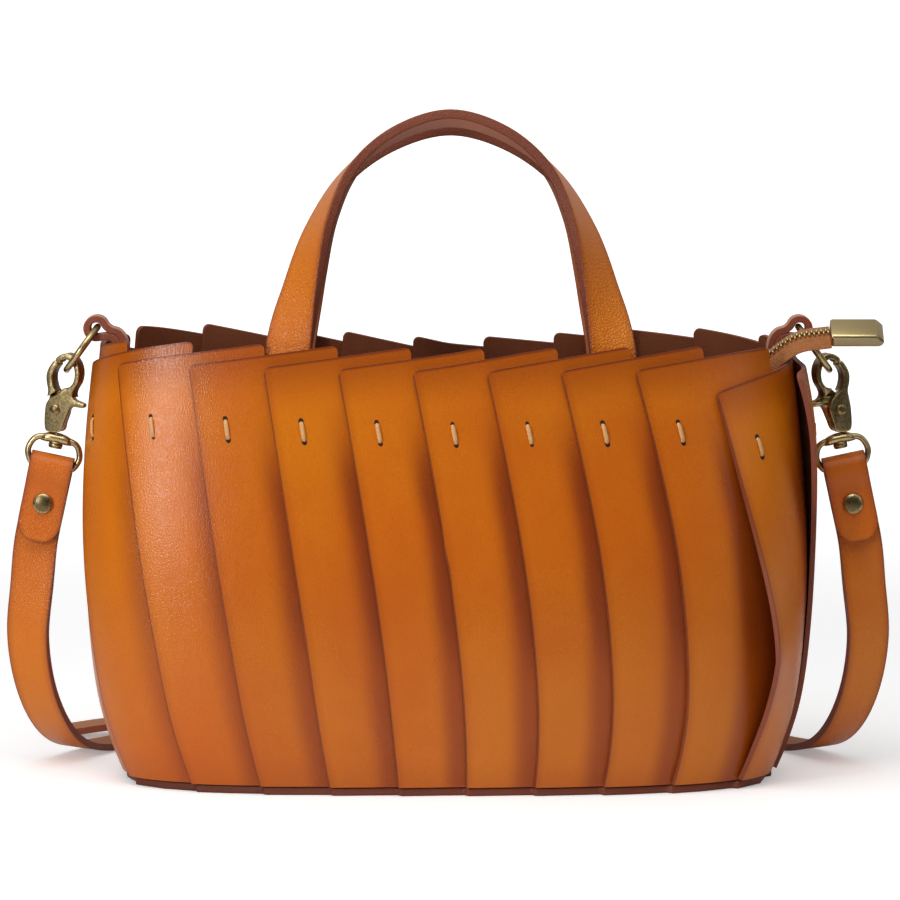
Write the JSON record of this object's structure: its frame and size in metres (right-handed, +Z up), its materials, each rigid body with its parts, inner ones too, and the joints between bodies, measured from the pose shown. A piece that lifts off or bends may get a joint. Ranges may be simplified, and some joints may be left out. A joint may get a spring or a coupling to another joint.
{
  "type": "leather handbag",
  "caption": "Small structured leather tote whose body is a ring of slanted, overlapping panels, with arched handles, a zip and a shoulder strap on trigger hooks.",
  "frame": {"origin": "middle of the base's underside, on the surface that the bag stands on", "axes": "+Z up, +X along the bag towards the zip's tail, front at -Y"},
  "size_m": [0.354, 0.1867, 0.2672],
  "materials": {
    "panel_leather": "vegetable-tanned, burnished, satin",
    "strap_leather": "vegetable-tanned, satin, brown edges",
    "base_leather": "brown, matt edge",
    "antique_brass": "antiqued, rubbed bright on the edges",
    "zip_tape": "woven herringbone tape"
  },
  "bodies": {
    "bag": {"panel_01": "panel_leather", "panel_02": "panel_leather", "panel_03": "panel_leather", "panel_04": "panel_leather", "panel_05": "panel_leather", "panel_06": "panel_leather", "panel_07": "panel_leather", "panel_08": "panel_leather", "panel_09": "panel_leather", "panel_10": "panel_leather", "panel_11": "panel_leather", "panel_12": "panel_leather", "panel_13": "panel_leather", "panel_14": "panel_leather", "panel_15": "panel_leather", "panel_16": "panel_leather", "panel_17": "panel_leather", "panel_18": "panel_leather", "panel_19": "panel_leather", "panel_20": "panel_leather", "panel_21": "panel_leather", "panel_22": "panel_leather", "base": "base_leather", "handle_front": "strap_leather", "handle_back": "strap_leather", "strap_left": "strap_leather", "strap_right": "strap_leather", "left_tab": "strap_leather", "right_tab": "strap_leather", "left_ring": "antique_brass", "left_hook_body": "antique_brass", "left_hook_rivet": "antique_brass", "left_swivel_eye": "antique_brass", "left_strap_rivet": "antique_brass", "right_ring": "antique_brass", "right_hook_body": "antique_brass", "right_hook_rivet": "antique_brass", "right_swivel_eye": "antique_brass", "right_strap_rivet": "antique_brass", "zip_slider": "antique_brass", "zip_teeth": "antique_brass", "zip_end_cap": "antique_brass", "strap_buckle": "antique_brass", "zip_tape_front": "zip_tape", "zip_tape_back": "zip_tape", "zip_tail": "zip_tape"},
    "left_lever": {"left_hook_lever": "antique_brass"},
    "right_lever": {"right_hook_lever": "antique_brass"}
  },
  "joints": [
    {"name": "left_hook_lever", "type": "hinge", "parent": "bag", "child": "left_lever", "pos_m": [-0.15544, 0, 0.14709], "axis": [0.309, 0.9511, 0], "range_deg": [0, 10], "stiffness_Nm_per_rad": 0.03},
    {"name": "right_hook_lever", "type": "hinge", "parent": "bag", "child": "right_lever", "pos_m": [0.15544, 0, 0.14709], "axis": [0.309, -0.9511, 0], "range_deg": [0, 10], "stiffness_Nm_per_rad": 0.03}
  ]
}
